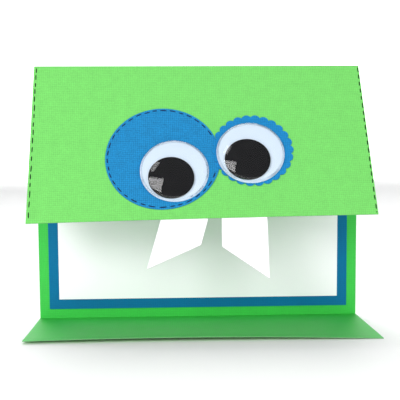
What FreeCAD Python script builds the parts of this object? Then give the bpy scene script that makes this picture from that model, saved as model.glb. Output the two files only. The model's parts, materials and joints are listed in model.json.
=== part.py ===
import FreeCAD, Part

import os
import re

import Sketcher
from FreeCAD import Placement, Rotation, Vector

# A folded-card monster: one strip of card with a fold at the top and a fold at the bottom.
# The back panel stands upright, the front flap (the face) hangs from the top fold, and the
# lower lip lies on the ground as the foot. Lengths are in millimetres, angles in degrees.
#
# Frame: +Z is up, the face looks along -Y, and X runs along the two folds. The origin is the
# middle of the foot's underside. Each panel's own frame has its fold as the X axis; its pieces
# are drawn as if the panel stood upright, and a layer's offset is its distance in front of the
# fold's axis.

DIMENSIONS = {
    # the card strip
    "card_width": 139.7,
    "back_height": 109.5,
    "flap_length": 73.2,
    "lip_length": 50.8,
    "card_thick": 0.3,
    "fold_inside": 0.3,
    "fold_leg": 0.4,
    "flap_angle": 30.0,
    "lip_angle": 90.0,
    # the layers on the back panel
    "tape_thick": 0.1,
    "tape_width": 6.0,
    "tape_inset": 2.0,
    "mat_margin": 4.3,
    "mat_thick": 0.3,
    "panel_margin": 4.3,
    "panel_thick": 0.25,
    # the round patch
    "round_dia": 47.0,
    "round_down": 45.5,
    "round_thick": 0.3,
    "round_tape_inset": 4.0,
    # the scalloped patch: it borders the right eye unevenly and lies over the round patch's edge
    "scallop_border": 3.0,
    "scallop_right_of_eye": 1.0,
    "scallop_above_eye": 1.8,
    "patch_overlap": 3.5,
    "scallop_bump": 2.1,
    "scallop_count": 26.0,
    "scallop_thick": 0.3,
    "scallop_tape_dia": 18.0,
    "scallop_tape_shift": 3.5,
    # the wiggle eyes
    "eye_dia": 27.9,
    "eye_flange": 0.4,
    "eye_flange_thick": 0.4,
    "eye_wall": 0.35,
    "eye_wall_height": 1.6,
    "eye_dome_rise": 2.8,
    "eye_back_thick": 0.5,
    "eye_glue_dia": 12.0,
    "eye_glue_thick": 0.3,
    "pupil_dia": 18.6,
    "pupil_thick": 1.0,
    "pupil_edge": 0.2,
    "pupil_play": 0.15,
    "pupil_lift": 0.1,
    "left_eye_across": -10.7,
    "left_eye_down": 52.0,
    "right_eye_down": 44.4,
    "eye_gap": 4.2,
    "left_pupil_turn": 21.0,
    "right_pupil_turn": 22.0,
    # the teeth: each starts and ends along the flap's edge, and drops below it
    "left_tooth_start": -16.4,
    "left_tooth_end": 2.3,
    "left_tooth_low_left_across": -21.9,
    "left_tooth_low_left_drop": 20.5,
    "left_tooth_low_right_across": -0.8,
    "left_tooth_low_right_drop": 11.1,
    "right_tooth_start": 7.7,
    "right_tooth_end": 25.7,
    "right_tooth_low_left_across": 7.5,
    "right_tooth_low_left_drop": 12.1,
    "right_tooth_low_right_across": 25.3,
    "right_tooth_low_right_drop": 25.7,
    "tooth_thick": 0.3,
    "tooth_tab": 6.0,
    "tooth_tape_margin": 1.2,
}

# What follows from the driving dimensions, in the order that the sheet works it out.
DERIVED = {
    "fold_outside": "=fold_inside + card_thick",
    "fold_y": "=lip_length / 2 - fold_outside",
    "low_fold_z": "=fold_outside",
    "top_fold_z": "=back_height - fold_outside",
    "flap_reach": "=flap_length - fold_outside",
    "back_span": "=top_fold_z - low_fold_z",
    "mat_width": "=card_width - 2 * mat_margin",
    "mat_height": "=back_height - 2 * mat_margin",
    "mat_low": "=mat_margin - low_fold_z",
    "panel_width": "=mat_width - 2 * panel_margin",
    "panel_height": "=mat_height - 2 * panel_margin",
    "panel_low": "=mat_low + panel_margin",
    "mat_tape_front": "=tape_thick - fold_inside",
    "mat_front": "=mat_tape_front + mat_thick",
    "panel_tape_front": "=mat_front + tape_thick",
    "panel_front": "=panel_tape_front + panel_thick",
    "round_tape_front": "=fold_outside + tape_thick",
    "round_front": "=round_tape_front + round_thick",
    "scallop_front": "=round_front + scallop_thick",
    "left_eye_back": "=round_front + eye_glue_thick + eye_back_thick",
    "right_eye_back": "=scallop_front + eye_glue_thick + eye_back_thick",
    "right_eye_across": "=left_eye_across + sqrt((eye_dia + eye_gap)^2"
                        " - (left_eye_down - right_eye_down)^2)",
    "scallop_dia": "=eye_dia + 2 * scallop_border",
    "scallop_across": "=right_eye_across + scallop_right_of_eye",
    "scallop_down": "=right_eye_down - scallop_above_eye",
    "round_across": "=scallop_across - sqrt(((round_dia + scallop_dia) / 2 - patch_overlap)^2"
                    " - (round_down - scallop_down)^2)",
    "chamber_radius": "=eye_dia / 2 - eye_flange - eye_wall",
    "pupil_throw": "=chamber_radius - pupil_dia / 2 - pupil_play",
}

doc = FreeCAD.newDocument("monster_card")
sheet = doc.addObject("Spreadsheet::Sheet", "Sizes")
for row, (name, value) in enumerate({**DIMENSIONS, **DERIVED}.items(), start=1):
    sheet.set(f"A{row}", name)
    sheet.set(f"B{row}", str(value))
    sheet.setAlias(f"B{row}", name)
doc.recompute()

SHEET_NAMES = {name: f"Sizes.{name}" for name in (*DIMENSIONS, *DERIVED)}
ORIGIN = (-1, 1)
SKETCH_Y_AXIS = -2
CENTRE = 3

# Each panel: the height of its fold, and how far it is turned about the fold from upright.
PANELS = {
    "back": ("low_fold_z", "0"),
    "top": ("top_fold_z", "0"),
    "flap": ("top_fold_z", "(-flap_angle)"),
    "lip": ("low_fold_z", "lip_angle"),
}


# A tube in a fold starts behind the fold's axis, or in front of it, and turns about +X.
START_BEHIND = Rotation(Vector(1, 1, 1), 120)
START_IN_FRONT = Rotation(Vector(1, 0, 0), 180) * START_BEHIND
FORWARD = Rotation(Vector(0, 0, 1), Vector(0, -1, 0))


def named(formula):
    """The formula as an expression, with each size's name read from the sheet."""
    return re.sub(r"[a-z_]+", lambda word: SHEET_NAMES.get(word[0], word[0]), formula)


def bind(thing, prop, formula):
    thing.setExpression(prop, named(formula))


def seat(piece, panel, across="0", down="0", front="0"):
    """Places a piece on a panel: down is the distance below the fold, front the layer's offset."""
    fold_z, turn = PANELS[panel]
    piece.Placement = Placement(Vector(), Rotation(Vector(1, 0, 0), 1))
    bind(piece, ".Placement.Base.x", across)
    bind(piece, ".Placement.Base.y",
         f"fold_y - ( {front} ) * cos( {turn} * 1deg ) + ( {down} ) * sin( {turn} * 1deg )")
    bind(piece, ".Placement.Base.z",
         f"{fold_z} - ( {front} ) * sin( {turn} * 1deg ) - ( {down} ) * cos( {turn} * 1deg )")
    bind(piece, ".Placement.Rotation.Angle", f"{turn} * 1deg")


def new_body(name):
    body = doc.addObject("PartDesign::Body", name)
    body.Label = name
    return body


def new_sketch(body, role, suffix="sketch"):
    sketch = body.newObject("Sketcher::SketchObject", f"{body.Name}_{suffix}")
    origin_plane = next(f for f in body.Origin.OriginFeatures if f.Role == role)
    sketch.AttachmentSupport = [(origin_plane, "")]
    sketch.MapMode = "FlatFace"
    return sketch


def fix_point(sketch, edge, end, across, up):
    """Holds one end of an edge at the two formulas across and up."""
    for kind, formula in (("DistanceX", across), ("DistanceY", up)):
        row = sketch.addConstraint(Sketcher.Constraint(kind, *ORIGIN, edge, end, 1.0))
        bind(sketch, f"Constraints[{row}]", formula)


def outline(sketch, corners):
    """A closed outline of straight edges through corners, each a pair of formulas."""
    count = len(corners)
    turn = Rotation(Vector(0, 0, 1), 360 / count)
    spoke = Vector(-1, -1, 0)
    for _ in corners:
        sketch.addGeometry(Part.LineSegment(spoke, turn.multVec(spoke)), False)
        spoke = turn.multVec(spoke)
    for edge, (across, up) in enumerate(corners):
        sketch.addConstraint(Sketcher.Constraint("Coincident", edge, 2, (edge + 1) % count, 1))
        fix_point(sketch, edge, 1, across, up)


def rectangle(sketch, left, right, low, high):
    outline(sketch, [(left, low), (right, low), (right, high), (left, high)])


def disc(sketch, diameter):
    """A circle round the sketch's origin."""
    sketch.addGeometry(Part.Circle(Vector(), Vector(0, 0, 1), 1.0), False)
    sketch.addConstraint(Sketcher.Constraint("Coincident", 0, CENTRE, *ORIGIN))
    row = sketch.addConstraint(Sketcher.Constraint("Diameter", 0, 2.0))
    bind(sketch, f"Constraints[{row}]", diameter)


def pad(body, sketch, thick):
    """Thickens a sketch on the panel's plane backwards, away from the viewer."""
    feature = body.newObject("PartDesign::Pad", f"{sketch.Name}_pad")
    feature.Profile = sketch
    feature.Reversed = True
    bind(feature, "Length", thick)
    sketch.Visibility = False
    return feature


def sheet_piece(name, panel, draw, thick, front, across="0", down="0"):
    """A flat piece whose front face is at the offset front."""
    body = new_body(name)
    sketch = new_sketch(body, "XZ_Plane")
    draw(sketch)
    pad(body, sketch, thick)
    seat(body, panel, across, down, front)
    return body


def box(name, length, width, height, corner):
    """A block whose low corner is at the three formulas in corner."""
    block = doc.addObject("Part::Box", name)
    for prop, formula in (("Length", length), ("Width", width), ("Height", height)):
        bind(block, prop, formula)
    for letter, formula in zip("xyz", corner):
        bind(block, f".Placement.Base.{letter}", formula)
    return block


def crease(name, panel, first_side, bend, legs):
    """The bent strip of card in a fold: part of a tube round the fold, and a flat leg at each end.

    first_side turns the tube's start to the layer that it leaves; legs holds each leg's low edge
    and its turn about the fold.
    """
    tubes = []
    for label, radius in (("outside", "fold_outside"), ("inside", "fold_inside")):
        tube = doc.addObject("Part::Cylinder", f"{name}_{label}")
        bind(tube, "Radius", radius)
        bind(tube, "Height", "card_width")
        tube.Placement = Placement(Vector(), first_side)
        bind(tube, ".Placement.Base.x", "-card_width / 2")
        tubes.append(tube)
    bind(tubes[0], "Angle", bend)
    shell = doc.addObject("Part::Cut", f"{name}_bend")
    shell.Base, shell.Tool = tubes
    pieces = [shell]
    for number, (low_y, low_z, turn) in enumerate(legs):
        leg = box(f"{name}_leg_{number}", "card_width", "card_thick", "fold_leg",
                  ("-card_width / 2", low_y, low_z))
        holder = doc.addObject("Part::Compound", f"{name}_leg_turn_{number}")
        holder.Links = [leg]
        holder.Placement = Placement(Vector(), Rotation(Vector(1, 0, 0), 1))
        bind(holder, ".Placement.Rotation.Angle", f"( {turn} ) * 1deg")
        pieces.append(holder)
    whole = doc.addObject("Part::MultiFuse", name)
    whole.Label = name
    whole.Shapes = pieces
    whole.Refine = True
    seat(whole, panel)
    return whole


def tape_frame(name, width, height, low, front):
    """Four strips of double-sided tape just inside the edges of a rectangle on the back panel."""
    left = f"tape_inset - ( {width} ) / 2"
    long_side = f"( {width} ) - 2 * tape_inset"
    side_height = f"( {height} ) - 2 * tape_inset - 4 * tape_width"
    depth = f"( - ( {front} ) )"
    strips = [
        (left, f"{low} + tape_inset", long_side, "tape_width"),
        (left, f"{low} + ( {height} ) - tape_inset - tape_width", long_side, "tape_width"),
        (left, f"{low} + tape_inset + 2 * tape_width", "tape_width", side_height),
        (f"( {width} ) / 2 - tape_inset - tape_width", f"{low} + tape_inset + 2 * tape_width",
         "tape_width", side_height),
    ]
    blocks = [box(f"{name}_strip_{number}", wide, "tape_thick", tall, (start, depth, bottom))
              for number, (start, bottom, wide, tall) in enumerate(strips)]
    frame = doc.addObject("Part::Compound", name)
    frame.Label = name
    frame.Links = blocks
    seat(frame, "back")
    return frame


def scalloped_disc(name, panel, across, down, front):
    """A disc with round bumps all the way round its edge."""
    body = new_body(name)
    middle = new_sketch(body, "XZ_Plane")
    disc(middle, "scallop_dia - 2 * scallop_bump")
    pad(body, middle, "scallop_thick")
    bump = new_sketch(body, "XZ_Plane", "bump")
    bump.addGeometry(Part.Circle(Vector(0, 10, 0), Vector(0, 0, 1), 1.0), False)
    bump.addConstraint(Sketcher.Constraint("PointOnObject", 0, CENTRE, SKETCH_Y_AXIS))
    row = bump.addConstraint(Sketcher.Constraint("DistanceY", *ORIGIN, 0, CENTRE, 10.0))
    bind(bump, f"Constraints[{row}]", "scallop_dia / 2 - scallop_bump")
    row = bump.addConstraint(Sketcher.Constraint("Radius", 0, 1.0))
    bind(bump, f"Constraints[{row}]", "scallop_bump")
    one = pad(body, bump, "scallop_thick")
    ring = body.newObject("PartDesign::PolarPattern", f"{name}_ring")
    ring.Originals = [one]
    ring.Axis = (bump, ["N_Axis"])
    ring.Angle = 360
    bind(ring, "Occurrences", "scallop_count")
    body.Tip = ring
    seat(body, panel, across, down, front)
    return body


def domed_plug(name, radius, wall, rise):
    """A round plug that stands forward of its panel: a straight wall, then a shallow dome."""
    ball = f"( ( {radius} ) ^ 2 + ( {rise} ) ^ 2 ) / ( 2 * ( {rise} ) )"
    drum = doc.addObject("Part::Cylinder", f"{name}_drum")
    bind(drum, "Radius", radius)
    bind(drum, "Height", f"{wall} + {rise}")
    drum.Placement = Placement(Vector(), FORWARD)
    globe = doc.addObject("Part::Sphere", f"{name}_globe")
    bind(globe, "Radius", ball)
    globe.Placement = Placement(Vector(), FORWARD)
    bind(globe, ".Placement.Base.y", f"{ball} - {wall} - ( {rise} )")
    plug = doc.addObject("Part::Common", f"{name}_plug")
    plug.Base, plug.Tool = drum, globe
    return plug


def eye_dome(name, panel, across, down, front):
    """The clear cover of an eye: a thin shell with a flange round its foot."""
    outside = domed_plug(f"{name}_outside", "( chamber_radius + eye_wall )", "eye_wall_height",
                         "( eye_dome_rise + eye_wall )")
    inside = domed_plug(f"{name}_inside", "chamber_radius", "eye_wall_height", "eye_dome_rise")
    flange = doc.addObject("Part::Cylinder", f"{name}_flange")
    bind(flange, "Radius", "eye_dia / 2")
    bind(flange, "Height", "eye_flange_thick")
    flange.Placement = Placement(Vector(), FORWARD)
    blank = doc.addObject("Part::Fuse", f"{name}_blank")
    blank.Base, blank.Tool = outside, flange
    shell = doc.addObject("Part::Cut", name)
    shell.Label = name
    shell.Base, shell.Tool = blank, inside
    seat(shell, panel, across, down, front)
    return shell


def round_piece(name, diameter, thick, across, down, front):
    """A flat disc on the flap."""
    return sheet_piece(name, "flap", lambda sketch: disc(sketch, diameter), thick, front, across, down)


def pupil(name, across, down, front):
    """A loose disc with both its edges broken."""
    body = round_piece(name, "pupil_dia", "pupil_thick", across, down, front)
    doc.recompute()
    edges = doc.getObject(f"{name}_sketch_pad")
    bevel = body.newObject("PartDesign::Chamfer", f"{name}_edges")
    bevel.Base = (edges, [f"Face{number + 1}" for number, face in enumerate(edges.Shape.Faces)
                          if isinstance(face.Surface, Part.Plane)])
    bind(bevel, "Size", "pupil_edge")
    return body


def eye(side, across, down, back):
    """One wiggle eye: glue dot, white backing, loose pupil and clear dome."""
    place = (across, f"( {down} - fold_outside )")
    turn = f"( {side}_pupil_turn * 1deg )"
    hung = (f"{across} - pupil_throw * sin( {turn} )",
            f"{down} - fold_outside + pupil_throw * cos( {turn} )")
    return [
        round_piece(f"{side}_eye_glue", "eye_glue_dia", "eye_glue_thick", *place,
                    f"( {back} - eye_back_thick )"),
        round_piece(f"{side}_eye_backing", "eye_dia", "eye_back_thick", *place, back),
        pupil(f"{side}_pupil", *hung, f"( {back} + pupil_lift + pupil_thick )"),
        eye_dome(f"{side}_eye_dome", "flap", *place, back),
    ]


def tooth(side):
    """One tooth, glued behind the flap's lower edge, and its tape."""
    start, end = f"{side}_tooth_start", f"{side}_tooth_end"
    low_left, low_right = f"{side}_tooth_low_left", f"{side}_tooth_low_right"

    def draw_tooth(sketch):
        outline(sketch, [
            (start, "tooth_tab - flap_reach"),
            (start, "- flap_reach"),
            (f"{low_left}_across", f"- flap_reach - {low_left}_drop"),
            (f"{low_right}_across", f"- flap_reach - {low_right}_drop"),
            (end, "- flap_reach"),
            (end, "tooth_tab - flap_reach"),
        ])

    def draw_tape(sketch):
        rectangle(sketch, f"{start} + tooth_tape_margin", f"{end} - tooth_tape_margin",
                  "tooth_tape_margin - flap_reach", "tooth_tab - tooth_tape_margin - flap_reach")

    return [
        sheet_piece(f"{side}_tooth_tape", "flap", draw_tape, "tape_thick", "fold_inside"),
        sheet_piece(f"{side}_tooth", "flap", draw_tooth, "tooth_thick", "fold_inside - tape_thick"),
    ]


def card_strip():
    """The folded card: three flat panels and the bent card in its two folds."""
    edges = ("- card_width / 2", "card_width / 2")
    return [
        sheet_piece("back_panel", "back",
                    lambda sketch: rectangle(sketch, *edges, "fold_leg", "back_span - fold_leg"),
                    "card_thick", "- fold_inside"),
        sheet_piece("front_flap", "flap",
                    lambda sketch: rectangle(sketch, *edges, "- flap_reach", "- fold_leg"),
                    "card_thick", "fold_outside"),
        sheet_piece("lower_lip", "lip",
                    lambda sketch: rectangle(sketch, *edges, "fold_leg", "lip_length - fold_outside"),
                    "card_thick", "fold_outside"),
        crease("top_crease", "top", START_BEHIND, "180 - flap_angle",
               [("fold_inside", "- fold_leg", "0"), ("- fold_outside", "- fold_leg", "- flap_angle")]),
        crease("bottom_crease", "lip", START_IN_FRONT, "180 - lip_angle",
               [("- fold_outside", "0", "0"), ("fold_inside", "0", "- lip_angle")]),
    ]


def back_layers():
    """The mat and the writing panel, each held by a frame of tape strips."""
    return [
        tape_frame("mat_tape", "mat_width", "mat_height", "mat_low", "mat_tape_front"),
        sheet_piece("blue_mat", "back",
                    lambda sketch: rectangle(sketch, "- mat_width / 2", "mat_width / 2",
                                             "mat_low", "mat_low + mat_height"),
                    "mat_thick", "mat_front"),
        tape_frame("panel_tape", "panel_width", "panel_height", "panel_low", "panel_tape_front"),
        sheet_piece("white_panel", "back",
                    lambda sketch: rectangle(sketch, "- panel_width / 2", "panel_width / 2",
                                             "panel_low", "panel_low + panel_height"),
                    "panel_thick", "panel_front"),
    ]


def patches():
    """The two eye patches on the flap and what glues them."""
    round_place = ("round_across", "( round_down - fold_outside )")
    scallop_place = ("scallop_across", "( scallop_down - fold_outside )")
    pad_place = ("scallop_across + scallop_tape_shift", "( scallop_down - fold_outside )")
    return [
        round_piece("round_patch_tape", "round_dia - 2 * round_tape_inset", "tape_thick",
                    *round_place, "round_tape_front"),
        round_piece("round_patch", "round_dia", "round_thick", *round_place, "round_front"),
        round_piece("scalloped_patch_tape", "scallop_tape_dia", "round_front - fold_outside",
                    *pad_place, "round_front"),
        scalloped_disc("scalloped_patch", "flap", *scallop_place, "scallop_front"),
    ]


def export(pieces):
    """Checks every object of the document, then writes one file for each piece."""
    doc.recompute()
    for thing in doc.Objects:
        if {"Invalid", "Error"} & set(thing.State):
            raise RuntimeError(f"{thing.Name} failed: {thing.State}")
    for piece in pieces:
        if piece.Shape.isNull() or not piece.Shape.isValid() or piece.Shape.Volume <= 0:
            raise RuntimeError(f"{piece.Label} has no valid solid")
    os.makedirs("parts", exist_ok=True)
    for piece in pieces:
        piece.Shape.exportStep(f"parts/{piece.Label}.step")
        print(f"{piece.Label}: {len(piece.Shape.Solids)} solid(s), {piece.Shape.Volume:.2f} mm3")


export([
    *card_strip(),
    *back_layers(),
    *patches(),
    *eye("left", "left_eye_across", "left_eye_down", "left_eye_back"),
    *eye("right", "right_eye_across", "right_eye_down", "right_eye_back"),
    *tooth("left"),
    *tooth("right"),
])
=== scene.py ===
import json
import math
import random

import bmesh
import bpy
from mathutils import Matrix, Vector


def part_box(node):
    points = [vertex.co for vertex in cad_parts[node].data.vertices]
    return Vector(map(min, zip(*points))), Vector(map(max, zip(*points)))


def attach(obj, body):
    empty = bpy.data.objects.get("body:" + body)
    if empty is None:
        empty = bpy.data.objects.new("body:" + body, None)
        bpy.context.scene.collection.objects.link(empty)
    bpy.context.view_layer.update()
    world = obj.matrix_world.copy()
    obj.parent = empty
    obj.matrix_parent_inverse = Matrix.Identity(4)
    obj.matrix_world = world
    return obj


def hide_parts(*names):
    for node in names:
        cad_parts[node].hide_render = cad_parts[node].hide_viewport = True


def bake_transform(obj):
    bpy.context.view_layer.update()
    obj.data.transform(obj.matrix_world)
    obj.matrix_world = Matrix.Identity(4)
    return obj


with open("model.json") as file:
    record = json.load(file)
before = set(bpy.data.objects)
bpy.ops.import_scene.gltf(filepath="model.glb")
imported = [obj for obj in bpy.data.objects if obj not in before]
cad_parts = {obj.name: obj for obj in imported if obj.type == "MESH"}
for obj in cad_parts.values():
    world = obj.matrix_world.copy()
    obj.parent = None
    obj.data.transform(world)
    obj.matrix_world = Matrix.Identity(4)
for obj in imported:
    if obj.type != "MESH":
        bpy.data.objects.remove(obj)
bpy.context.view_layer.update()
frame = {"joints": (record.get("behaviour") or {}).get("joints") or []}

# ---------------------------------------------------------------- places read from the frame
JOINTS = {joint["name"]: joint for joint in frame["joints"]}
TOP = Vector(JOINTS["flap_fold"]["pos_m"])
LOW = Vector(JOINTS["lip_fold"]["pos_m"])
LOOK = Vector(JOINTS["left_pupil_roll"]["axis"])
FLAP_ANGLE = math.atan2(LOOK.z, -LOOK.y)
EYES = {side: Vector(JOINTS[f"{side}_pupil_roll"]["pos_m"]) for side in ("left", "right")}

BACK_LOW, BACK_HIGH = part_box("back_panel")
HALF_WIDTH = BACK_HIGH.x
INSIDE = BACK_LOW.y - TOP.y
OUTSIDE = BACK_HIGH.y - TOP.y
LEG = TOP.z - BACK_HIGH.z
FLAP_REACH = (TOP.z + INSIDE * LOOK.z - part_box("front_flap")[0].z) / -LOOK.y
LIP_REACH = LOW.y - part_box("lower_lip")[0].y

# ---------------------------------------------------------------- sizes of the looks, in metres
MM = 0.001
FLAP_TWIST = math.radians(2.2)          # at the flap's side edges
FLAP_BOW = 0.6 * MM
LIP_LIFT = 1.0 * MM
LIP_BOW = 1.1 * MM
TAPE = 0.1 * MM
PATCH = 0.3 * MM
ROUND_FRONT = OUTSIDE + TAPE + PATCH
SCALLOP_FRONT = ROUND_FRONT + PATCH
SCALLOP_COUNT = 26
SCALLOP_BUMP = 2.1 * MM
SCALLOP_DROOP = 0.25 * MM
SCALLOP_DROOP_REACH = 12 * MM
TAPE_WIDTH = 6 * MM
TOOTH_TAB = 6.0 * MM
TOOTH_TAPE_MARGIN = 1.2 * MM
TOOTH_LEAN = 0.04                       # backwards, for each metre below the flap's edge
PEN_WIDTH = 0.5 * MM
PEN_THICK = 0.03 * MM
PEN_TIP = 0.55                          # a dash's width at its ends, as a share of its middle
PEN_TAPER = 2.2                         # how fast a dash widens from its ends
RIB_WIDTH = 0.8 * MM


# ---------------------------------------------------------------- the shape of the bent card
def across(u):
    """Where u is on the card, from -1 at its left edge to 1 at its right."""
    return u / HALF_WIDTH


def flap_bulge(u, d):
    """How far the flap stands forward of its flat plane, d below the fold."""
    share = d / FLAP_REACH
    twist = d * FLAP_TWIST * across(u)
    bow = FLAP_BOW * (1 - across(u) ** 2) * share * share
    return twist + bow


def flap_frame(u, d, n):
    """A point on the CAD flap: u across, d below the fold, n in front of it."""
    cos, sin = math.cos(FLAP_ANGLE), math.sin(FLAP_ANGLE)
    return Vector((u, TOP.y - n * cos - d * sin, TOP.z + n * sin - d * cos))


def on_flap(u, d, n):
    """A point on the twisted and bowed flap."""
    return flap_frame(u, d, n + flap_bulge(u, d))


def on_lip(u, d, n):
    """A point on the lip, d in front of its fold, which rises towards its front edge."""
    share = max(d, 0.0) / LIP_REACH
    lift = LIP_LIFT * (1 - across(u)) / 2 + LIP_BOW * (1 - across(u) ** 2)
    return Vector((u, LOW.y - d, LOW.z - n + lift * share ** 1.6))


def on_back(u, up, n):
    """A point on the back panel, up above the bottom fold and n in front of it."""
    return Vector((u, LOW.y - n, LOW.z + up))


def flap_place(point):
    """u and d, on the CAD flap, of a point in space."""
    offset = point - TOP
    down = -offset.y * math.sin(FLAP_ANGLE) - offset.z * math.cos(FLAP_ANGLE)
    return point.x, down


def middle(node):
    low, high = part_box(node)
    return (low + high) / 2


def half_size(node):
    low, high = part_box(node)
    return (high.x - low.x) / 2


# ---------------------------------------------------------------- meshes
def make_object(name, verts, faces, body, materials, uvs=None, rim_from=None, node=None):
    """A mesh piece. A card's front, back and rim faces take its first, middle and last material."""
    mesh = bpy.data.meshes.new(name)
    mesh.from_pydata([tuple(v) for v in verts], [], faces)
    for material in materials:
        mesh.materials.append(material)
    if rim_from is not None:
        for polygon in mesh.polygons[rim_from // 2:rim_from]:
            polygon.material_index = (len(materials) - 1) // 2
        for polygon in mesh.polygons[rim_from:]:
            polygon.material_index = len(materials) - 1
    layer = mesh.uv_layers.new(name="card")
    if uvs:
        for loop in mesh.loops:
            layer.data[loop.index].uv = uvs[loop.vertex_index]
    mesh.validate()
    mesh.update()
    piece = bpy.data.objects.new(name, mesh)
    bpy.context.scene.collection.objects.link(piece)
    if body:
        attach(piece, body)
    if node:
        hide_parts(node)
    return piece


def grid_pattern(left, right, low, high, columns, rows):
    """A flat pattern of a rectangle: its points, faces and rim."""
    points = [(left + (right - left) * i / columns, low + (high - low) * j / rows)
              for j in range(rows + 1) for i in range(columns + 1)]
    wide = columns + 1
    faces = [(j * wide + i, j * wide + i + 1, (j + 1) * wide + i + 1, (j + 1) * wide + i)
             for j in range(rows) for i in range(columns)]
    rim = list(range(columns))
    rim += [j * wide + columns for j in range(rows)]
    rim += [rows * wide + columns - i for i in range(columns)]
    rim += [(rows - j) * wide for j in range(rows)]
    return points, faces, rim


def quad_pattern(corners, columns, rows):
    """A flat pattern of any four-cornered outline: corners run round from the low left."""
    points, faces, rim = grid_pattern(0, 1, 0, 1, columns, rows)
    a, b, c, d = (Vector(corner) for corner in corners)
    bent = [(a.lerp(b, s)).lerp(d.lerp(c, s), t) for s, t in points]
    return [tuple(point) for point in bent], faces, rim


def disc_pattern(centre, radius_at, segments, rings):
    """A flat pattern of a disc whose radius is a function of the angle, cut into rings."""
    points = [tuple(centre)]
    for ring in range(1, rings + 1):
        for k in range(segments):
            angle = 2 * math.pi * k / segments
            reach = radius_at(angle) * ring / rings
            points.append((centre[0] + reach * math.cos(angle), centre[1] + reach * math.sin(angle)))
    faces = [(0, 1 + k, 1 + (k + 1) % segments) for k in range(segments)]
    for ring in range(rings - 1):
        inner, outer = 1 + ring * segments, 1 + (ring + 1) * segments
        for k in range(segments):
            after = (k + 1) % segments
            faces.append((inner + k, outer + k, outer + after, inner + after))
    first = 1 + (rings - 1) * segments
    return points, faces, [first + k for k in range(segments)]


def round_pattern(centre, radius, segments, rings):
    return disc_pattern(centre, lambda angle: radius, segments, rings)


def sheet_solid(name, pattern, place, front, back, body, materials, node=None):
    """A card piece: its flat pattern at two offsets, closed by its cut edge."""
    points, faces, rim = pattern
    count = len(points)
    verts = [place(u, d, front) for u, d in points] + [place(u, d, back) for u, d in points]
    skin = [tuple(face) for face in faces]
    skin += [tuple(reversed([count + i for i in face])) for face in faces]
    edge = [(rim[(k + 1) % len(rim)], rim[k], count + rim[k], count + rim[(k + 1) % len(rim)])
            for k in range(len(rim))]
    if front_is_flipped(verts, skin[0], verts[count]):
        skin = [tuple(reversed(face)) for face in skin]
        edge = [tuple(reversed(face)) for face in edge]
    return make_object(name, verts, skin + edge, body, materials,
                       uvs=points + points, rim_from=len(skin), node=node)


def front_is_flipped(verts, face, behind):
    """Whether a front face looks towards the back of its own sheet."""
    a, b, c = (verts[i] for i in face[:3])
    return (b - a).cross(c - a).dot(behind - verts[0]) > 0


def lathe(name, profile, place, segments, body, materials, node=None, sharp=35):
    """A closed profile of (radius, height) turned about an axis; place puts each point."""
    verts, faces = [], []
    count = len(profile)
    rings = []
    for radius, height in profile:
        if radius < 1e-9:
            verts.append(place(0.0, 0.0, height))
            rings.append([len(verts) - 1] * segments)
            continue
        first = len(verts)
        for k in range(segments):
            angle = 2 * math.pi * k / segments
            verts.append(place(radius * math.cos(angle), radius * math.sin(angle), height))
        rings.append(list(range(first, first + segments)))
    for row in range(count):
        here, there = rings[row], rings[(row + 1) % count]
        for k in range(segments):
            after = (k + 1) % segments
            corners = (here[k], there[k], there[after], here[after])
            face = tuple(dict.fromkeys(corners))
            if len(face) > 2:
                faces.append(face)
    piece = make_object(name, verts, faces, body, materials, node=node)
    piece.data.shade_smooth()
    piece.data.set_sharp_from_angle(angle=math.radians(sharp))


def dashes(name, strokes, place, front, body, material):
    """Pen dashes: strokes is a list of centre lines, each a list of (u, d) points."""
    verts, faces = [], []
    for line in strokes:
        first = len(verts)
        last = len(line) - 1
        for k, (u, d) in enumerate(line):
            before, after = Vector(line[max(k - 1, 0)]), Vector(line[min(k + 1, last)])
            side = (after - before).normalized().orthogonal()
            end = min(k, last - k) / max(last / 2, 1)
            half = PEN_WIDTH / 2 * (PEN_TIP + (1 - PEN_TIP) * min(1.0, end * PEN_TAPER))
            for sign in (1, -1):
                spot = Vector((u, d)) + side * half * sign
                verts.append(place(spot.x, spot.y, front + PEN_THICK))
                verts.append(place(spot.x, spot.y, front - PEN_THICK))
        for k in range(last):
            a, b = first + 4 * k, first + 4 * (k + 1)
            faces += [(a, b, b + 2, a + 2), (a + 1, a + 3, b + 3, b + 1),
                      (a, a + 1, b + 1, b), (a + 2, b + 2, b + 3, a + 3)]
        end = first + 4 * last
        faces += [(first, first + 2, first + 3, first + 1), (end, end + 1, end + 3, end + 2)]
    fix_normals(make_object(name, verts, faces, body, [material]))


def fix_normals(piece):
    """Turns every face outwards."""
    work = bmesh.new()
    work.from_mesh(piece.data)
    bmesh.ops.recalc_face_normals(work, faces=work.faces)
    work.to_mesh(piece.data)
    work.free()


# ---------------------------------------------------------------- materials
WAVE_PERIOD = math.pi / 10      # of a wave texture at scale 1
SCHLICK_POWER = 5.0             # how fast a clear surface turns to a mirror at its sides


def linear(red, green, blue):
    """A colour on the 0 to 255 scale of screens, as light."""
    def one(value):
        share = value / 255
        return share / 12.92 if share <= 0.04045 else ((share + 0.055) / 1.055) ** 2.4
    return (one(red), one(green), one(blue), 1.0)


MATERIALS = {}


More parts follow.
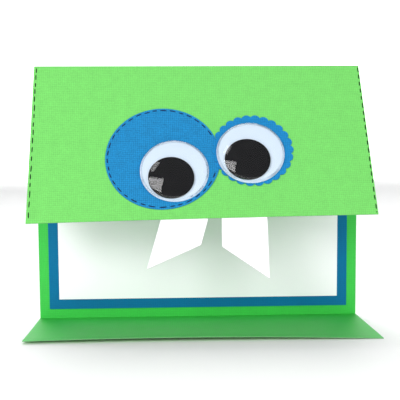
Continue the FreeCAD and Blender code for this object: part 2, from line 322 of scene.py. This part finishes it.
class Nodes:
    """A new material, kept by its name, and short calls to add and join its nodes."""

    def __init__(self, name):
        self.material = bpy.data.materials.new(name)
        self.material.use_nodes = True
        MATERIALS[name] = self.material
        self.tree = self.material.node_tree
        self.shader = self.tree.nodes["Principled BSDF"]
        self.output = self.tree.nodes["Material Output"]

    def add(self, kind, **settings):
        node = self.tree.nodes.new(kind)
        for name, value in settings.items():
            if hasattr(node, name):
                setattr(node, name, value)
            else:
                node.inputs[name.replace("_", " ")].default_value = value
        return node

    def join(self, source, target, output=0, to=0):
        self.tree.links.new(source.outputs[output], target.inputs[to])

    def math(self, operation, first, second):
        node = self.add("ShaderNodeMath", operation=operation)
        for slot, value in enumerate((first, second)):
            if isinstance(value, (int, float)):
                node.inputs[slot].default_value = value
            else:
                self.join(value, node, to=slot)
        return node

    def ramp(self, source, low, high, first, second):
        """Two colours, mixed as source runs from low to high."""
        spread = self.add("ShaderNodeMapRange", From_Min=low, From_Max=high)
        self.join(source, spread)
        mix = self.add("ShaderNodeMix", data_type="RGBA")
        mix.inputs["A"].default_value = first
        mix.inputs["B"].default_value = second
        self.tree.links.new(spread.outputs[0], mix.inputs["Factor"])
        return mix


def scaled(colour, factor):
    """A colour made lighter or darker."""
    return tuple(min(1.0, channel * factor) for channel in colour[:3]) + (1.0,)


def card_material(name, colour, relief=0.06, mottle=0.16, gloss=0.25, rough=0.72):
    """Cardstock with a pressed cross grain, relief millimetres deep, and cloudy dye."""
    n = Nodes(name)
    place = n.add("ShaderNodeUVMap", uv_map="card")
    cloud = n.add("ShaderNodeTexNoise", Scale=260.0, Detail=3.0, Roughness=0.6)
    n.join(place, cloud)
    grain = n.add("ShaderNodeTexNoise", Scale=1150.0, Detail=4.0, Roughness=0.75)
    n.join(place, grain)
    rib = n.add("ShaderNodeTexWave", wave_type="BANDS", bands_direction="X",
                Scale=WAVE_PERIOD / RIB_WIDTH, Distortion=3.2, Detail=3.0, Detail_Scale=1.6)
    n.join(place, rib)
    weft = n.add("ShaderNodeTexWave", wave_type="BANDS", bands_direction="Y",
                 Scale=WAVE_PERIOD / (RIB_WIDTH * 1.1), Distortion=3.6, Detail=3.0, Detail_Scale=1.5)
    n.join(place, weft)
    weave = n.math("ADD", n.math("MULTIPLY", rib, 0.5), n.math("MULTIPLY", weft, 0.5))
    relief_sum = n.math("ADD", n.math("MULTIPLY", weave, 0.5), n.math("MULTIPLY", grain, 0.9))
    shade = n.math("ADD", n.math("MULTIPLY", cloud, 0.3), n.math("MULTIPLY", relief_sum, 0.6))
    dye = n.ramp(shade, 0.3, 0.75, scaled(colour, 1 - mottle), scaled(colour, 1 + mottle))
    n.tree.links.new(dye.outputs["Result"], n.shader.inputs["Base Color"])
    bump = n.add("ShaderNodeBump", Strength=0.35, Distance=relief * MM)
    n.tree.links.new(relief_sum.outputs[0], bump.inputs["Height"])
    n.tree.links.new(bump.outputs[0], n.shader.inputs["Normal"])
    wear = n.add("ShaderNodeMapRange", To_Min=rough, To_Max=rough + 0.2)
    n.join(cloud, wear)
    n.tree.links.new(wear.outputs[0], n.shader.inputs["Roughness"])
    n.shader.inputs["Specular IOR Level"].default_value = gloss


def edge_material(name, colour, grey=0.35):
    """The cut edge of dyed card: paler and greyer than its face, with torn fibres. A small grey
    makes it darker than the face instead: painted shade.
    """
    n = Nodes(name)
    place = n.add("ShaderNodeTexCoord")
    fibres = n.add("ShaderNodeTexNoise", Scale=2200.0, Detail=4.0, Roughness=0.8)
    n.join(place, fibres, output=3)
    faded = tuple(channel * (0.7 - 0.2 * grey) + 0.45 * grey for channel in colour[:3]) + (1.0,)
    dye = n.ramp(fibres, 0.35, 0.7, scaled(faded, 0.7), scaled(faded, 1.1))
    n.tree.links.new(dye.outputs["Result"], n.shader.inputs["Base Color"])
    bump = n.add("ShaderNodeBump", Strength=0.6, Distance=0.06 * MM)
    n.tree.links.new(fibres.outputs[0], bump.inputs["Height"])
    n.tree.links.new(bump.outputs[0], n.shader.inputs["Normal"])
    n.shader.inputs["Roughness"].default_value = 0.95
    n.shader.inputs["Specular IOR Level"].default_value = 0.15


def ink_material(name, colour):
    """Felt-pen ink soaked into card: darker where the pen rested."""
    n = Nodes(name)
    place = n.add("ShaderNodeTexCoord")
    soak = n.add("ShaderNodeTexNoise", Scale=1500.0, Detail=3.0)
    n.join(place, soak, output=3)
    dye = n.ramp(soak, 0.3, 0.7, scaled(colour, 0.7), scaled(colour, 1.5))
    n.tree.links.new(dye.outputs["Result"], n.shader.inputs["Base Color"])
    n.shader.inputs["Roughness"].default_value = 0.7
    n.shader.inputs["Specular IOR Level"].default_value = 0.3


def plastic_material(name, colour, roughness, wear=0.03, specular=0.5):
    """Smooth plastic with a faint haze of handling marks."""
    n = Nodes(name)
    place = n.add("ShaderNodeTexCoord")
    haze = n.add("ShaderNodeTexNoise", Scale=420.0, Detail=4.0, Roughness=0.65)
    n.join(place, haze, output=3)
    tone = n.ramp(haze, 0.3, 0.7, scaled(colour, 1 - wear), scaled(colour, 1 + wear))
    n.tree.links.new(tone.outputs["Result"], n.shader.inputs["Base Color"])
    gloss = n.add("ShaderNodeMapRange", To_Min=roughness * 0.7, To_Max=roughness * 1.5)
    n.join(haze, gloss)
    n.tree.links.new(gloss.outputs[0], n.shader.inputs["Roughness"])
    n.shader.inputs["Specular IOR Level"].default_value = specular


def clear_material(name):
    """Thin clear plastic: seen through, bluer and more of a mirror towards its sides."""
    n = Nodes(name)
    place = n.add("ShaderNodeTexCoord")
    haze = n.add("ShaderNodeTexNoise", Scale=300.0, Detail=3.0)
    n.join(place, haze, output=3)
    polish = n.add("ShaderNodeMapRange", To_Min=0.02, To_Max=0.05)
    n.join(haze, polish)
    gloss = n.add("ShaderNodeBsdfGlossy")
    n.tree.links.new(polish.outputs[0], gloss.inputs["Roughness"])
    through = n.add("ShaderNodeBsdfTransparent")
    facing = n.add("ShaderNodeLayerWeight", Blend=0.5)
    grazing = n.add("ShaderNodeMath", operation="POWER")
    n.join(facing, grazing, output=1)
    grazing.inputs[1].default_value = SCHLICK_POWER
    depth = n.ramp(grazing, 0.0, 0.6, (0.995, 0.997, 1.0, 1.0), (0.5, 0.6, 0.72, 1.0))
    n.tree.links.new(depth.outputs["Result"], through.inputs["Color"])
    mirror = n.math("ADD", n.math("MULTIPLY", grazing, 0.5), 0.03)
    mix = n.add("ShaderNodeMixShader")
    n.join(mirror, mix)
    n.join(through, mix, to=1)
    n.join(gloss, mix, to=2)
    n.tree.links.new(mix.outputs[0], n.output.inputs["Surface"])


LIME = linear(114, 202, 100)
LEAF = linear(52, 188, 67)
NAVY = linear(6, 106, 152)
ROUND_BLUE = linear(27, 123, 177)
SCALLOP_BLUE = linear(24, 124, 182)
WHITE = linear(253, 249, 255)
TOOTH_WHITE = linear(250, 250, 250)

card_material("green_outside", LIME)
card_material("green_inside", LEAF, relief=0.03, mottle=0.12, gloss=0.55, rough=0.5)
edge_material("green_edge", LEAF)
card_material("mat_card", NAVY, mottle=0.1)
edge_material("mat_edge", NAVY)
card_material("round_patch_card", ROUND_BLUE, relief=0.09, mottle=0.34)
# grey=0.1 makes this cut edge darker than the patch's face: painted shade, a dark outline for the
# contact shadow along the patch's edge.
edge_material("round_patch_edge_painted_shade", ROUND_BLUE, grey=0.1)
card_material("scalloped_patch_card", SCALLOP_BLUE, relief=0.07, mottle=0.28)
# Here too grey=0.1 gives a darker cut edge: painted shade along the scalloped patch's edge.
edge_material("scalloped_patch_edge_painted_shade", SCALLOP_BLUE, grey=0.1)
card_material("white_card", WHITE, relief=0.03, mottle=0.01)
card_material("tooth_card", TOOTH_WHITE, relief=0.02, mottle=0.008)
edge_material("white_edge", WHITE)
plastic_material("tape", linear(225, 226, 218), 0.4)
plastic_material("glue", linear(228, 230, 222), 0.25)
plastic_material("eye_white", linear(217, 232, 246), 0.3, wear=0.01)
plastic_material("eye_black", linear(6, 6, 9), 0.4, wear=0.2, specular=0.04)
clear_material("eye_clear")
ink_material("green_ink", linear(8, 44, 16))
ink_material("blue_ink", linear(5, 28, 68))


def pair(card, edge):
    """The materials of a sheet that is one colour on both sides, and of its cut edge."""
    return [MATERIALS[card], MATERIALS[edge]]


# ---------------------------------------------------------------- the card strip
COLUMNS = 56
BEND_STEPS = 16
BEND_STEP_LENGTH = 0.12 * MM
STRIP = [MATERIALS[name] for name in ("green_outside", "green_inside", "green_edge")]


def top_bend(u, step, n):
    """The top fold's section: a leg on the back panel, the bend, and a leg on the flap."""
    turn = math.pi - FLAP_ANGLE - math.asin(min(1.0, flap_bulge(u, LEG) / LEG))
    if step == 0:
        return on_back(u, TOP.z - LOW.z - LEG, -n)
    if step == BEND_STEPS:
        return on_flap(u, LEG, n)
    angle = turn * (step - 1) / (BEND_STEPS - 2)
    return Vector((u, TOP.y + n * math.cos(angle), TOP.z + n * math.sin(angle)))


def low_bend(u, step, n):
    """The bottom fold's section: a leg on the lip, the bend, and a leg on the back panel."""
    if step == 0:
        return on_lip(u, LEG, n)
    if step == BEND_STEPS:
        return on_back(u, LEG, -n)
    angle = -math.pi / 2 * (1 - (step - 1) / (BEND_STEPS - 2))
    return Vector((u, LOW.y + n * math.cos(angle), LOW.z + n * math.sin(angle)))


def fold(name, bend):
    """The bent strip of card in a fold."""
    points, faces, rim = grid_pattern(-HALF_WIDTH, HALF_WIDTH, 0, BEND_STEPS, COLUMNS, BEND_STEPS)
    pattern = ([(u, round(step)) for u, step in points], faces, rim)
    piece = sheet_solid(name, pattern, bend, OUTSIDE, INSIDE, None, STRIP, node=name)
    for corner in piece.data.uv_layers["card"].data:
        u, step = corner.uv
        corner.uv = (u, step * BEND_STEP_LENGTH)
    fix_normals(piece)
    piece.data.shade_smooth()
    piece.data.set_sharp_from_angle(angle=math.radians(40))
    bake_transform(piece)


def card_strip():
    rise = TOP.z - LOW.z
    sheet_solid("back_card", grid_pattern(-HALF_WIDTH, HALF_WIDTH, LEG, rise - LEG, COLUMNS, 40),
                on_back, -OUTSIDE, -INSIDE, "back", STRIP, node="back_panel")
    sheet_solid("flap_card", grid_pattern(-HALF_WIDTH, HALF_WIDTH, LEG, FLAP_REACH, COLUMNS, 28),
                on_flap, OUTSIDE, INSIDE, "flap", STRIP, node="front_flap")
    sheet_solid("lip_card", grid_pattern(-HALF_WIDTH, HALF_WIDTH, LEG, LIP_REACH, COLUMNS, 18),
                on_lip, OUTSIDE, INSIDE, "lip", STRIP, node="lower_lip")
    fold("top_crease", top_bend)
    fold("bottom_crease", low_bend)


# ---------------------------------------------------------------- the layers on the back panel
def back_sheet(name, node, slot, edge):
    """A flat sheet on the back panel, the size of its CAD node."""
    low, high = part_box(node)
    pattern = grid_pattern(low.x, high.x, low.z - LOW.z, high.z - LOW.z, 24, 20)
    sheet_solid(name, pattern, on_back, LOW.y - low.y, LOW.y - high.y, "back",
                pair(slot, edge), node=node)


def back_tape(node):
    """Four strips of tape just inside the edges of a sheet on the back panel."""
    low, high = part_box(node)
    strips = [(low.x, low.z, high.x, low.z + TAPE_WIDTH),
              (low.x, high.z - TAPE_WIDTH, high.x, high.z)]
    strips += [(start, low.z + 2 * TAPE_WIDTH, start + TAPE_WIDTH, high.z - 2 * TAPE_WIDTH)
               for start in (low.x, high.x - TAPE_WIDTH)]
    for number, (left, bottom, right, top) in enumerate(strips):
        pattern = grid_pattern(left, right, bottom - LOW.z, top - LOW.z, 6, 6)
        sheet_solid(f"{node}_{number}", pattern, on_back, LOW.y - low.y, LOW.y - high.y, "back",
                    [MATERIALS["tape"]], node=node)


def back_layers():
    back_tape("mat_tape")
    back_sheet("mat_card_sheet", "blue_mat", "mat_card", "mat_edge")
    back_tape("panel_tape")
    back_sheet("white_card_sheet", "white_panel", "white_card", "white_edge")


# ---------------------------------------------------------------- patches, teeth and pen marks
ROUND_RADIUS = half_size("round_patch")
ROUND_CENTRE = flap_place(middle("round_patch"))
SCALLOP_RADIUS = half_size("scalloped_patch")
SCALLOP_CENTRE = flap_place(middle("scalloped_patch"))


def scallop_reach(angle):
    """The edge of a ring of round bumps, at an angle."""
    step = 2 * math.pi / SCALLOP_COUNT
    off = (angle + step / 2) % step - step / 2
    ring = SCALLOP_RADIUS - SCALLOP_BUMP
    return ring * math.cos(off) + math.sqrt(SCALLOP_BUMP ** 2 - (ring * math.sin(off)) ** 2)


def on_scallop(u, d, n):
    """The scalloped patch sinks from the round patch's edge towards the flap."""
    beyond = math.dist((u, d), ROUND_CENTRE) - ROUND_RADIUS
    share = min(1.0, max(0.0, beyond / SCALLOP_DROOP_REACH))
    return on_flap(u, d, n - SCALLOP_DROOP * share)


def patches():
    tape = round_pattern(ROUND_CENTRE, half_size("round_patch_tape"), 48, 6)
    sheet_solid("round_patch_glue", tape, on_flap, OUTSIDE + TAPE, OUTSIDE, "flap",
                [MATERIALS["tape"]], node="round_patch_tape")
    sheet_solid("round_patch_sheet", round_pattern(ROUND_CENTRE, ROUND_RADIUS, 160, 14), on_flap,
                ROUND_FRONT, OUTSIDE + TAPE, "flap",
                pair("round_patch_card", "round_patch_edge_painted_shade"), node="round_patch")
    pad = round_pattern(flap_place(middle("scalloped_patch_tape")),
                        half_size("scalloped_patch_tape"), 48, 5)
    sheet_solid("scalloped_patch_glue", pad, on_flap, ROUND_FRONT - SCALLOP_DROOP, OUTSIDE, "flap",
                [MATERIALS["tape"]], node="scalloped_patch_tape")
    outline = disc_pattern(SCALLOP_CENTRE, scallop_reach, SCALLOP_COUNT * 14, 12)
    sheet_solid("scalloped_patch_sheet", outline, on_scallop, SCALLOP_FRONT, ROUND_FRONT, "flap",
                pair("scalloped_patch_card", "scalloped_patch_edge_painted_shade"),
                node="scalloped_patch")


# Each tooth: where its sides leave the flap's edge, left and right, then its low left and low
# right corners, as (across, drop below the edge), all in millimetres.
TEETH = {
    "left": (-16.4, 2.3, (-21.9, 20.5), (-0.8, 11.1)),
    "right": (7.7, 25.7, (7.5, 12.1), (25.3, 25.7)),
}
TOOTH_FRONT = INSIDE - TAPE
TOOTH_COLUMNS = 16


def tooth(side, start, end, low_left, low_right):
    """A card tooth with its tab behind the flap's edge, and the tape that holds the tab."""
    corners = [(start, FLAP_REACH), (end, FLAP_REACH),
               (low_right[0] * MM, FLAP_REACH + low_right[1] * MM),
               (low_left[0] * MM, FLAP_REACH + low_left[1] * MM)]
    blade = quad_pattern(corners, TOOTH_COLUMNS, 16)
    tab = grid_pattern(start, end, FLAP_REACH - TOOTH_TAB, FLAP_REACH, TOOTH_COLUMNS, 4)
    sheet_solid(f"{side}_tooth_card", stacked(tab, blade, TOOTH_COLUMNS), on_tooth, TOOTH_FRONT,
                TOOTH_FRONT - PATCH, "flap", pair("tooth_card", "white_edge"),
                node=f"{side}_tooth")
    tape = grid_pattern(start + TOOTH_TAPE_MARGIN, end - TOOTH_TAPE_MARGIN,
                        FLAP_REACH - TOOTH_TAB + TOOTH_TAPE_MARGIN,
                        FLAP_REACH - TOOTH_TAPE_MARGIN, 8, 2)
    sheet_solid(f"{side}_tooth_glue", tape, on_flap, INSIDE, TOOTH_FRONT, "flap",
                [MATERIALS["tape"]], node=f"{side}_tooth_tape")


def teeth():
    for side, (start, end, low_left, low_right) in TEETH.items():
        tooth(side, start * MM, end * MM, low_left, low_right)


def on_tooth(u, d, n):
    """A tooth follows the flap down to its edge, then leans back a little."""
    past = max(0.0, d - FLAP_REACH)
    return flap_frame(u, d, n + flap_bulge(u, d - past) - TOOTH_LEAN * past)


def stacked(upper, lower, columns):
    """Two grid patterns that share a row, as one pattern."""
    wide = columns + 1
    points = upper[0][:-wide] + lower[0]
    rows = len(points) // wide - 1
    _, faces, rim = grid_pattern(0, 1, 0, 1, columns, rows)
    return points, faces, rim


STROKE_STEPS = 4


def edge_strokes(rng, side, inset, drift, dash, gap):
    """Pen dashes down one side edge of the flap."""
    strokes = []
    d = 0.7 * MM
    while d < FLAP_REACH - 1.2 * MM:
        length = min(rng.uniform(*dash), FLAP_REACH - 0.8 * MM - d)
        wander = rng.uniform(-drift, drift)
        lean = rng.uniform(-drift, drift)
        line = []
        for step in range(STROKE_STEPS + 1):
            share = step / STROKE_STEPS
            line.append((side * (HALF_WIDTH - inset + wander + lean * (share - 0.5)),
                         d + length * share))
        strokes.append(line)
        d += length + rng.uniform(*gap)
    return strokes


def ring_strokes(rng, centre, radius, drift, dash, gap, hidden):
    """Pen dashes round a ring, apart from where the ring is hidden."""
    strokes = []
    first = 0.2
    angle = first
    while angle < 2 * math.pi + first - 1.3 * MM / radius:
        length = rng.uniform(*dash) / radius
        reach = radius + rng.uniform(-drift, drift)
        lean = rng.uniform(-drift, drift)
        line = []
        for step in range(STROKE_STEPS + 1):
            share = step / STROKE_STEPS
            out, turn = reach + lean * (share - 0.5), angle + length * share
            line.append((centre[0] + out * math.cos(turn), centre[1] + out * math.sin(turn)))
        if not any(hidden(*point) for point in line):
            strokes.append(line)
        angle += length + rng.uniform(*gap) / radius
    return strokes


def under_scallops(u, d):
    return math.dist((u, d), SCALLOP_CENTRE) < SCALLOP_RADIUS


def pen_marks():
    rng = random.Random(7)
    left = edge_strokes(rng, side=-1, inset=1.0 * MM, drift=0.12 * MM,
                        dash=(1.9 * MM, 3.2 * MM), gap=(0.8 * MM, 2.2 * MM))
    right = edge_strokes(rng, side=1, inset=0.55 * MM, drift=0.08 * MM,
                         dash=(2.0 * MM, 2.8 * MM), gap=(1.1 * MM, 1.7 * MM))
    dashes("flap_pen_stitches", left + right, on_flap, OUTSIDE, "flap",
           MATERIALS["green_ink"])
    ring = ring_strokes(rng, ROUND_CENTRE, ROUND_RADIUS - 0.95 * MM, drift=0.12 * MM,
                        dash=(1.9 * MM, 2.9 * MM), gap=(1.0 * MM, 1.7 * MM),
                        hidden=under_scallops)
    dashes("patch_pen_stitches", ring, on_flap, ROUND_FRONT, "flap",
           MATERIALS["blue_ink"])


# ---------------------------------------------------------------- the wiggle eyes
EYE_RADIUS = half_size("left_eye_backing")
FLANGE = 0.4 * MM
FLANGE_THICK = 0.4 * MM
WALL = 0.35 * MM
WALL_HEIGHT = 1.6 * MM
DOME_RISE = 2.8 * MM
DOME_SHOULDER = 0.8 * MM
FLANGE_BEVEL = 0.12 * MM
BACKING = 0.5 * MM
GLUE_RADIUS = 6.0 * MM
GLUE_THICK = 0.3 * MM
GLUE_SINK = 0.25 * MM
PUPIL_RADIUS = half_size("left_pupil")
PUPIL_THICK = 1.0 * MM
EYE_SEGMENTS = 112


def facing(centre, foot):
    """Puts (across, up, out) round foot, square to the flap and out with its bow at centre."""
    out = LOOK.normalized()
    right = Vector((1, 0, 0))
    up = right.cross(-out)
    base = foot + out * flap_bulge(*flap_place(centre))
    return lambda x, y, height: base + right * x + up * y + out * height


def rounded(radius, low, high, bevel, steps=5):
    """A disc's profile from the axis out, round its rounded edge, and back to the axis."""
    line = [(0.0, low)]
    for k in range(steps + 1):
        turn = math.pi / 2 * k / steps
        line.append((radius - bevel + bevel * math.sin(turn), low + bevel - bevel * math.cos(turn)))
    for k in range(steps + 1):
        turn = math.pi / 2 * k / steps
        line.append((radius - bevel + bevel * math.cos(turn), high - bevel + bevel * math.sin(turn)))
    line.append((0.0, high))
    return line


def dome_profile():
    """The clear cover: up the outside to the crown, and down the inside to its foot."""
    inner = EYE_RADIUS - FLANGE - WALL
    outer = inner + WALL
    line = [(EYE_RADIUS - FLANGE_BEVEL, 0.0), (EYE_RADIUS, FLANGE_BEVEL),
            (EYE_RADIUS, FLANGE_THICK - FLANGE_BEVEL), (EYE_RADIUS - FLANGE_BEVEL, FLANGE_THICK),
            (outer + 0.1 * MM, FLANGE_THICK), (outer, FLANGE_THICK + FLANGE_BEVEL)]
    line += cap_arc(outer, WALL_HEIGHT, DOME_RISE + WALL)
    line += reversed(cap_arc(inner, WALL_HEIGHT, DOME_RISE))
    line.append((inner, 0.0))
    return line


def cap_arc(radius, foot, rise, steps=22):
    """A shallow ball's cap from its foot up to the axis, with its shoulder rounded off."""
    ball = (radius * radius + rise * rise) / (2 * rise)
    half = math.asin(radius / ball)
    line = []
    for k in range(steps + 1):
        turn = half * (1 - k / steps)
        line.append((ball * math.sin(turn), foot + rise - ball + ball * math.cos(turn)))
    first, corner, after = Vector((radius, foot - DOME_SHOULDER)), Vector(line[0]), Vector(line[2])
    curve = []
    for k in range(7):
        t = k / 6
        curve.append(tuple(first * (1 - t) ** 2 + corner * 2 * t * (1 - t) + after * t * t))
    return curve + line[3:]


def glue_profile():
    """A squashed blob of glue, from just inside the card up to the backing disc."""
    foot = -BACKING - GLUE_THICK
    return [(0.0, foot - GLUE_SINK), (GLUE_RADIUS * 0.9, foot - GLUE_SINK),
            (GLUE_RADIUS, foot + 0.05 * MM), (GLUE_RADIUS * 0.93, -BACKING), (0.0, -BACKING)]


def eye(side):
    """A wiggle eye: glue, white backing, loose black pupil and clear domed cover."""
    centre = EYES[side]
    place = facing(centre, centre)
    lathe(f"{side}_eye_glue_blob", glue_profile(), place, 40, "flap", [MATERIALS["glue"]],
          node=f"{side}_eye_glue")
    lathe(f"{side}_eye_disc", rounded(EYE_RADIUS, -BACKING, 0.0, 0.15 * MM), place, EYE_SEGMENTS,
          "flap", [MATERIALS["eye_white"]], node=f"{side}_eye_backing")
    lathe(f"{side}_eye_cover", dome_profile(), place, EYE_SEGMENTS, "flap",
          [MATERIALS["eye_clear"]], node=f"{side}_eye_dome", sharp=50)
    foot = middle(f"{side}_pupil") - LOOK.normalized() * PUPIL_THICK / 2
    lathe(f"{side}_pupil_disc", rounded(PUPIL_RADIUS, 0.0, PUPIL_THICK, 0.22 * MM),
          facing(centre, foot), EYE_SEGMENTS, f"{side}_pupil",
          [MATERIALS["eye_black"]], node=f"{side}_pupil")


# ---------------------------------------------------------------- stage, light and camera
ROOM_LIGHT = 0.34
SUN_LIGHT = 2.1
SOFTBOXES = {
    # place, width, height, watts, and whether the eyes reflect it
    "window_low": ((-0.5, -0.75, 0.45), 0.4, 0.44, 3.3, True),
    "window_high": ((-0.45, -0.42, 0.87), 0.12, 0.28, 0.4, True),
    "front_low": ((0.1, -1.2, 0.3), 2.0, 1.0, 12.5, False),
}
LIT_SPOT = (0, 0, 0.05)


def stage_piece(name, corners, material):
    """A flat four-cornered piece of the set."""
    mesh = bpy.data.meshes.new(name)
    mesh.from_pydata(corners, [], [(0, 1, 2, 3)])
    mesh.materials.append(material)
    piece = bpy.data.objects.new(name, mesh)
    bpy.context.scene.collection.objects.link(piece)


def stage():
    """A pale tabletop, with a lit white screen far behind it."""
    paper = Nodes("tabletop")
    paper.shader.inputs["Base Color"].default_value = (0.95, 0.95, 0.945, 1.0)
    paper.shader.inputs["Roughness"].default_value = 0.6
    paper.shader.inputs["Specular IOR Level"].default_value = 0.2
    near, far, side = -1.2, 1.6, 2
    stage_piece("tabletop", [(-side, near, 0), (side, near, 0), (side, far, 0), (-side, far, 0)],
                paper.material)
    glow = Nodes("screen")
    glow.shader.inputs["Base Color"].default_value = (0.9, 0.9, 0.9, 1.0)
    glow.shader.inputs["Emission Color"].default_value = (1.0, 1.0, 1.0, 1.0)
    glow.shader.inputs["Emission Strength"].default_value = 1.1
    low, high = -0.2, 0.9
    stage_piece("screen", [(-side, far, low), (-side, far, high), (side, far, high),
                           (side, far, low)], glow.material)


def lamp(name, kind, place, aim, power):
    """A lamp at a place, turned towards its aim."""
    light = bpy.data.lights.new(name, kind)
    light.energy = power
    holder = bpy.data.objects.new(name, light)
    holder.location = place
    direction = Vector(aim) - Vector(place)
    holder.rotation_euler = direction.to_track_quat("-Z", "Y").to_euler()
    bpy.context.scene.collection.objects.link(holder)
    return holder


def lighting():
    """A pale room, a soft sun from behind, two windows at the left and a wide fill in front."""
    world = bpy.data.worlds.new("room")
    world.use_nodes = True
    background = world.node_tree.nodes["Background"]
    background.inputs["Color"].default_value = (0.97, 0.985, 1.0, 1.0)
    background.inputs["Strength"].default_value = ROOM_LIGHT
    bpy.context.scene.world = world
    sun = lamp("key", "SUN", (-0.05, 0.6, 0.72), (0, 0, 0), SUN_LIGHT)
    sun.data.angle = math.radians(38)
    for name, (place, width, height, power, reflected) in SOFTBOXES.items():
        box = lamp(name, "AREA", place, LIT_SPOT, power)
        box.data.shape = "RECTANGLE"
        box.data.size, box.data.size_y = width, height
        box.visible_glossy = reflected


CAMERA_PLACE = (-0.0156, -0.3554, 0.0742)
CAMERA_TURN = math.radians(-2.447)
CAMERA_TILT = math.radians(-5.492)
CAMERA_ROLL = math.radians(0.368)


def camera():
    """In front, a little above the middle and looking slightly down."""
    lens = bpy.data.cameras.new("camera")
    lens.sensor_width = 36
    lens.lens = 78.4
    lens.shift_y = 0.08
    lens.clip_start = 0.01
    viewer = bpy.data.objects.new("camera", lens)
    look = Matrix.Rotation(CAMERA_TURN, 4, "Z") @ Matrix.Rotation(math.pi / 2 + CAMERA_TILT, 4, "X")
    viewer.matrix_world = (Matrix.Translation(CAMERA_PLACE) @ look
                           @ Matrix.Rotation(-CAMERA_ROLL, 4, "Z"))
    bpy.context.scene.collection.objects.link(viewer)
    bpy.context.scene.camera = viewer


card_strip()
back_layers()
patches()
teeth()
pen_marks()
eye("left")
eye("right")
stage()
lighting()
camera()
bpy.context.scene.view_settings.view_transform = "Standard"
